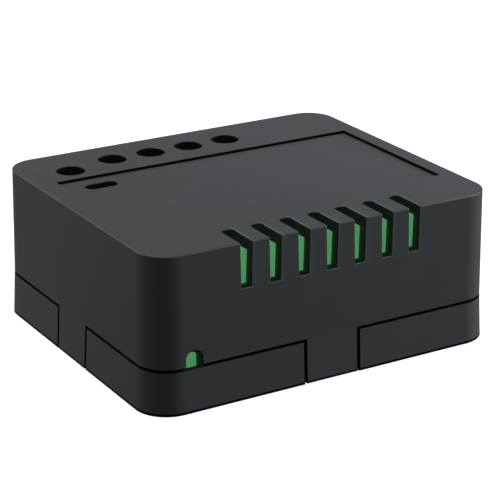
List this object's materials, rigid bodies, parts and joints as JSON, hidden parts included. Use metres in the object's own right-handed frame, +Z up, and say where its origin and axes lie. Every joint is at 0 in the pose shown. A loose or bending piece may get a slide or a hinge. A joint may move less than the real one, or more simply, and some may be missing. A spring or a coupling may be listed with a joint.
{
  "type": "low-voltage smart relay module",
  "caption": "Compact charcoal relay module: snap-fit case with screwdriver holes, recessed label field, button slot and front vents over a green circuit board.",
  "frame": {"origin": "bottom centre of the case, on the surface it rests on", "axes": "+X along the long side with the vents in front and the single terminal at the -X end, +Y to the back where the wires enter, +Z up through the top cover"},
  "size_m": [0.0438, 0.037, 0.0175],
  "materials": {
    "case_plastic": "fine matte texture, charcoal black",
    "solder_mask": "satin green solder mask over glass fibre board",
    "terminal_plastic": "moulded polyamide, semi matt",
    "zinc_steel": "zinc plated steel",
    "contact_brass": "tinned or bare brass strip",
    "relay_shell": "semi gloss relay case",
    "bobbin_plastic": "natural polymer",
    "copper_wire": "enamelled copper wire, layer wound",
    "soft_iron": "nickel plated soft iron",
    "spring_bronze": "rolled bronze spring strip",
    "silver_contact": "silver alloy contact",
    "switch_plastic": "moulded switch body",
    "button_plastic": "charcoal black button",
    "radio_mask": "dark solder mask",
    "can_steel": "drawn tin plated sheet",
    "gold_copper": "etched copper track",
    "capacitor_sleeve": "shrunk sleeve over aluminium",
    "rubber_seal": "rubber bung",
    "tinned_wire": "tinned wire",
    "ferrite": "sintered ferrite",
    "chip_epoxy": "black moulding epoxy with tinned leads",
    "opto_white": "white moulded body",
    "fuse_coat": "dipped yellow coating",
    "ceramic_dark": "black chip with tinned ends",
    "ceramic_tan": "tan ceramic with tinned ends",
    "led_lens": "clear lens on white body"
  },
  "bodies": {
    "case": {"top_cover": "case_plastic", "base_tray": "case_plastic", "main_board": "solder_mask", "front_board": "solder_mask", "header_strip": "switch_plastic", "header_pins": "tinned_wire", "relay_base": "relay_shell", "relay_case": "relay_shell", "relay_bobbin": "bobbin_plastic", "relay_winding": "copper_wire", "relay_core": "soft_iron", "relay_yoke": "soft_iron", "relay_open_contact": "contact_brass", "relay_closed_contact": "contact_brass", "relay_coil_pins": "tinned_wire", "switch_housing": "switch_plastic", "switch_plate": "zinc_steel", "switch_dome": "zinc_steel", "radio_board": "radio_mask", "radio_shield": "can_steel", "radio_antenna": "gold_copper", "capacitor_can": "capacitor_sleeve", "capacitor_bung": "rubber_seal", "capacitor_leads": "tinned_wire", "power_inductor": "ferrite", "regulator_ic": "chip_epoxy", "optocoupler": "opto_white", "driver_transistor": "chip_epoxy", "protection_diodes": "chip_epoxy", "resettable_fuse": "fuse_coat", "fuse_wires": "tinned_wire", "chip_resistors": "ceramic_dark", "chip_capacitors": "ceramic_tan", "status_led": "led_lens", "terminal_housing_1": "terminal_plastic", "terminal_busbar_1": "contact_brass", "terminal_housing_2": "terminal_plastic", "terminal_busbar_2": "contact_brass", "terminal_housing_3": "terminal_plastic", "terminal_busbar_3": "contact_brass", "terminal_housing_4": "terminal_plastic", "terminal_busbar_4": "contact_brass", "terminal_housing_5": "terminal_plastic", "terminal_busbar_5": "contact_brass"},
    "screw_1": {"terminal_screw_1": "zinc_steel"},
    "clamp_1": {"terminal_cage_1": "zinc_steel"},
    "screw_2": {"terminal_screw_2": "zinc_steel"},
    "clamp_2": {"terminal_cage_2": "zinc_steel"},
    "screw_3": {"terminal_screw_3": "zinc_steel"},
    "clamp_3": {"terminal_cage_3": "zinc_steel"},
    "screw_4": {"terminal_screw_4": "zinc_steel"},
    "clamp_4": {"terminal_cage_4": "zinc_steel"},
    "screw_5": {"terminal_screw_5": "zinc_steel"},
    "clamp_5": {"terminal_cage_5": "zinc_steel"},
    "button": {"button_cap": "button_plastic", "switch_plunger": "switch_plastic"},
    "armature": {"relay_armature": "soft_iron", "relay_contact_spring": "spring_bronze", "relay_moving_contact": "silver_contact"}
  },
  "joints": [
    {"name": "screw_1_turn", "type": "hinge", "parent": "case", "child": "screw_1", "pos_m": [-0.0158, 0.0118, 0.0135], "axis": [0, 0, -1], "range_deg": [0, 1440]},
    {"name": "clamp_1_lift", "type": "slide", "parent": "case", "child": "clamp_1", "axis": [0, 0, 1], "range_m": [0, 0.0018]},
    {"name": "screw_2_turn", "type": "hinge", "parent": "case", "child": "screw_2", "pos_m": [-0.00979, 0.01324, 0.0135], "axis": [0, 0, -1], "range_deg": [0, 1440]},
    {"name": "clamp_2_lift", "type": "slide", "parent": "case", "child": "clamp_2", "axis": [0, 0, 1], "range_m": [0, 0.0018]},
    {"name": "screw_3_turn", "type": "hinge", "parent": "case", "child": "screw_3", "pos_m": [-0.00479, 0.01324, 0.0135], "axis": [0, 0, -1], "range_deg": [0, 1440]},
    {"name": "clamp_3_lift", "type": "slide", "parent": "case", "child": "clamp_3", "axis": [0, 0, 1], "range_m": [0, 0.0018]},
    {"name": "screw_4_turn", "type": "hinge", "parent": "case", "child": "screw_4", "pos_m": [0.00021, 0.01324, 0.0135], "axis": [0, 0, -1], "range_deg": [0, 1440]},
    {"name": "clamp_4_lift", "type": "slide", "parent": "case", "child": "clamp_4", "axis": [0, 0, 1], "range_m": [0, 0.0018]},
    {"name": "screw_5_turn", "type": "hinge", "parent": "case", "child": "screw_5", "pos_m": [0.00521, 0.01324, 0.0135], "axis": [0, 0, -1], "range_deg": [0, 1440]},
    {"name": "clamp_5_lift", "type": "slide", "parent": "case", "child": "clamp_5", "axis": [0, 0, 1], "range_m": [0, 0.0018]},
    {"name": "button_press", "type": "slide", "parent": "case", "child": "button", "axis": [0, 0, 1], "range_m": [-0.0003, 0], "stiffness_N_per_m": 2000, "springref_m": 0.0002},
    {"name": "armature_rock", "type": "hinge", "parent": "case", "child": "armature", "pos_m": [-0.009, 0.004, 0.01185], "axis": [0, 1, 0], "range_deg": [0, 3], "stiffness_Nm_per_rad": 0.01, "springref_deg": -5.73}
  ],
  "couplings": [
    {"joint": "screw_1_turn", "follows": "clamp_1_lift", "rad_per_m": 13963},
    {"joint": "screw_2_turn", "follows": "clamp_2_lift", "rad_per_m": 13963},
    {"joint": "screw_3_turn", "follows": "clamp_3_lift", "rad_per_m": 13963},
    {"joint": "screw_4_turn", "follows": "clamp_4_lift", "rad_per_m": 13963},
    {"joint": "screw_5_turn", "follows": "clamp_5_lift", "rad_per_m": 13963}
  ]
}
